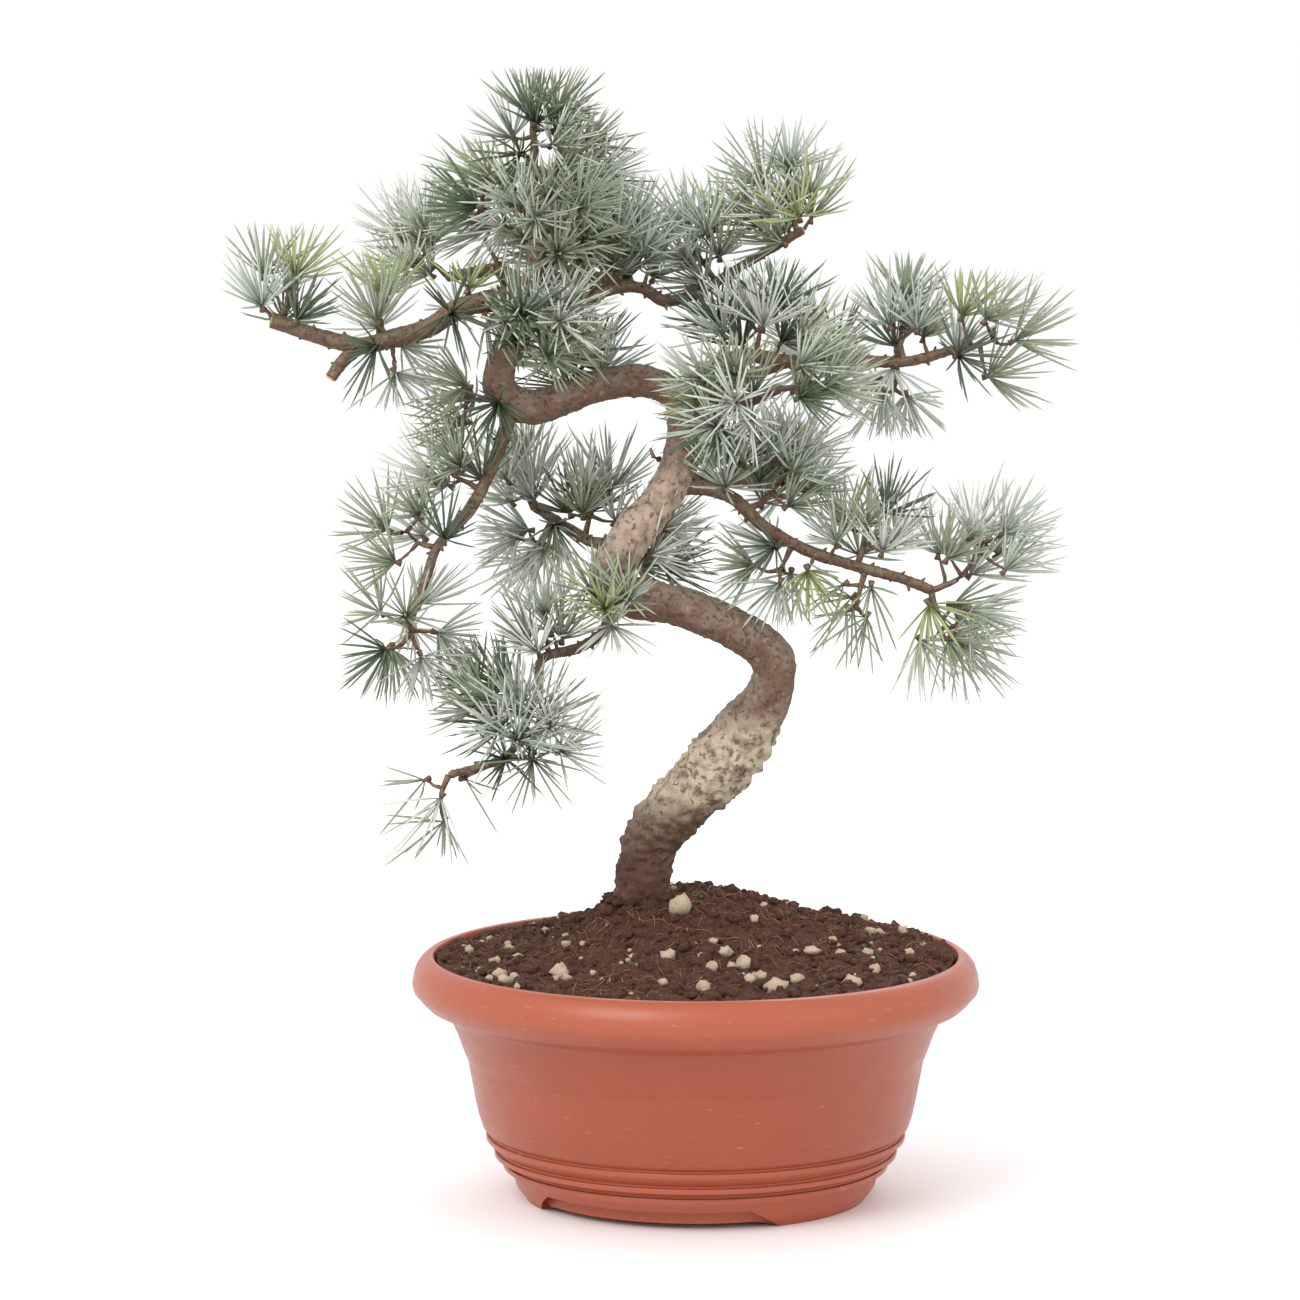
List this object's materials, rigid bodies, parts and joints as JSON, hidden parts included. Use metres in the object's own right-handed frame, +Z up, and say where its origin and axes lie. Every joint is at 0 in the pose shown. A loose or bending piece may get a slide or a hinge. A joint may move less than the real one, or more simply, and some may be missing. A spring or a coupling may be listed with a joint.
{
  "type": "blue atlas cedar bonsai in a round plastic bowl",
  "caption": "Small trained conifer with an S-shaped trunk, tapering boughs and open tufts of blue-green needles, rooted in a soil mound in a round ribbed bowl on low feet.",
  "frame": {"origin": "the pot's centre, on the ground that its feet stand on; the pan's flat underside is 2.2 mm above it", "axes": "+Z up, -Y towards the front that the picture shows, +X to the right seen from there"},
  "size_m": [0.2879, 0.2004, 0.3938],
  "materials": {
    "terracotta_plastic": "smooth terracotta-coloured plastic, dull with a soft sheen on the rim",
    "peat": "dark brown fibrous peat with pale pumice grains",
    "bark": "grey-brown bark, cracked and warty, reddish at the foot",
    "twig_bark": "brown twig bark, rough with pegs and scales",
    "needles": "waxy blue-green needles, paler along their lines"
  },
  "bodies": {
    "root": {"bough_back_left": "twig_bark", "bough_back_low": "twig_bark", "bough_back_mid": "twig_bark", "bough_back_top": "twig_bark", "bough_left_arm": "twig_bark", "bough_left_droop": "twig_bark", "bough_left_stub": "twig_bark", "bough_lower_left": "twig_bark", "bough_lower_right": "twig_bark", "bough_mid_right": "twig_bark", "bough_right_arm": "twig_bark", "bough_upper_left": "twig_bark", "bough_upper_right": "twig_bark", "foliage_arch_back": "needles", "foliage_back_left_inner": "needles", "foliage_back_left_outer": "needles", "foliage_back_left_under": "needles", "foliage_back_low": "needles", "foliage_back_mid": "needles", "foliage_back_of_bend": "needles", "foliage_back_top": "needles", "foliage_bend_front": "needles", "foliage_crook_front": "needles", "foliage_crown_back": "needles", "foliage_crown_front": "needles", "foliage_crown_right": "needles", "foliage_crown_upper_right": "needles", "foliage_droop_end": "needles", "foliage_droop_middle": "needles", "foliage_droop_top": "needles", "foliage_droop_upper": "needles", "foliage_leader_top": "needles", "foliage_left_arm_end": "needles", "foliage_left_arm_inner": "needles", "foliage_left_arm_middle": "needles", "foliage_left_arm_under": "needles", "foliage_lower_left_lower": "needles", "foliage_lower_left_middle": "needles", "foliage_lower_left_tip": "needles", "foliage_lower_left_upper": "needles", "foliage_lower_right_end": "needles", "foliage_lower_right_end_under": "needles", "foliage_lower_right_first": "needles", "foliage_lower_right_hanging": "needles", "foliage_lower_right_second": "needles", "foliage_lower_right_third": "needles", "foliage_lower_right_under": "needles", "foliage_mid_right_front": "needles", "foliage_mid_right_outer": "needles", "foliage_right_arm_end": "needles", "foliage_right_arm_fork": "needles", "foliage_right_arm_top": "needles", "foliage_right_arm_under": "needles", "foliage_upper_left_inner": "needles", "foliage_upper_left_outer": "needles", "foliage_upper_right_inner": "needles", "foliage_upper_right_outer": "needles", "pot": "terracotta_plastic", "soil": "peat", "trunk": "bark"}
  },
  "joints": []
}
